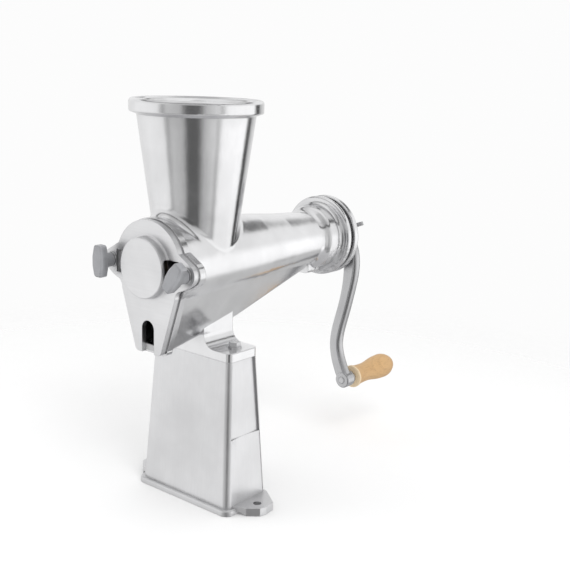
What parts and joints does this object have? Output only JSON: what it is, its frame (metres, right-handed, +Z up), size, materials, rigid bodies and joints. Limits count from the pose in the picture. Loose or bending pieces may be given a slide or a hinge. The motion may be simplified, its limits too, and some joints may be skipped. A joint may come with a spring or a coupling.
{
  "type": "fruit press",
  "caption": "Hand-cranked cast aluminium auger press for apples and other soft fruit, with a tall hopper, front juice spout, box stand and S-shaped crank.",
  "frame": {"origin": "on the table, midway between the two foot bolt holes", "axes": "+Z up, -Y towards the front cover and juice spout, +Y towards the crank, X across"},
  "size_m": [0.169, 0.3822, 0.39],
  "materials": {
    "stand_aluminium": "cast, satin polished",
    "head_aluminium": "cast, bright polished",
    "cover_aluminium": "cast, satin polished",
    "crank_aluminium": "cast, polished",
    "auger_aluminium": "cast, machined",
    "thumb_aluminium": "die cast",
    "steel": "bright",
    "bronze": "turned",
    "white_acetal": "natural",
    "rubber": "smooth",
    "knob_plastic": "moulded",
    "grip_wood": "turned, lightly varnished"
  },
  "bodies": {
    "press": {"base_stand": "stand_aluminium", "press_head": "head_aluminium", "cover_gasket": "rubber", "front_cover": "cover_aluminium", "front_bush": "bronze", "rear_bush": "white_acetal", "shaft_seal": "rubber", "cover_studs": "steel", "strainer_screen": "steel", "rear_cap": "head_aluminium", "cap_screws": "steel", "saddle_bolts": "steel", "saddle_washers": "steel", "saddle_nuts": "steel"},
    "drive": {"auger": "auger_aluminium", "thrust_washer": "white_acetal", "crank_arm": "crank_aluminium", "grip_pin": "steel", "grip_washer": "steel", "grip_lock_nut": "steel"},
    "grip": {"wood_grip": "grip_wood"},
    "crank_clamp": {"crank_washer": "steel"},
    "thumb_screw": {"thumb_screw": "thumb_aluminium"},
    "knob_washer_right": {"knob_washer_right": "steel"},
    "knob_right": {"knob_right": "knob_plastic", "knob_insert_right": "bronze"},
    "knob_washer_left": {"knob_washer_left": "steel"},
    "knob_left": {"knob_left": "knob_plastic", "knob_insert_left": "bronze"}
  },
  "joints": [
    {"name": "crank_spin", "type": "hinge", "parent": "press", "child": "drive", "pos_m": [0, 0.2, 0.241], "axis": [0, 1, 0], "continuous": true},
    {"name": "grip_spin", "type": "hinge", "parent": "drive", "child": "grip", "pos_m": [0.02628, 0.25, 0.07507], "axis": [0, 1, 0], "continuous": true},
    {"name": "thumb_screw_travel", "type": "slide", "parent": "drive", "child": "crank_clamp", "axis": [0, 1, 0], "range_m": [0, 0.00376]},
    {"name": "thumb_screw_turn", "type": "hinge", "parent": "crank_clamp", "child": "thumb_screw", "pos_m": [0, 0.21, 0.241], "axis": [0, 1, 0], "range_deg": [0, 1080]},
    {"name": "knob_right_travel", "type": "slide", "parent": "press", "child": "knob_washer_right", "axis": [0, -1, 0], "range_m": [0, 0.00376]},
    {"name": "knob_right_turn", "type": "hinge", "parent": "knob_washer_right", "child": "knob_right", "pos_m": [0.049, -0.085, 0.241], "axis": [0, -1, 0], "range_deg": [0, 1080]},
    {"name": "knob_left_travel", "type": "slide", "parent": "press", "child": "knob_washer_left", "axis": [0, -1, 0], "range_m": [0, 0.00376]},
    {"name": "knob_left_turn", "type": "hinge", "parent": "knob_washer_left", "child": "knob_left", "pos_m": [-0.049, -0.085, 0.241], "axis": [0, -1, 0], "range_deg": [0, 1080]}
  ],
  "couplings": [
    {"joint": "thumb_screw_travel", "follows": "thumb_screw_turn", "m_per_rad": 0.00019894},
    {"joint": "knob_right_travel", "follows": "knob_right_turn", "m_per_rad": 0.00019894},
    {"joint": "knob_left_travel", "follows": "knob_left_turn", "m_per_rad": 0.00019894}
  ]
}
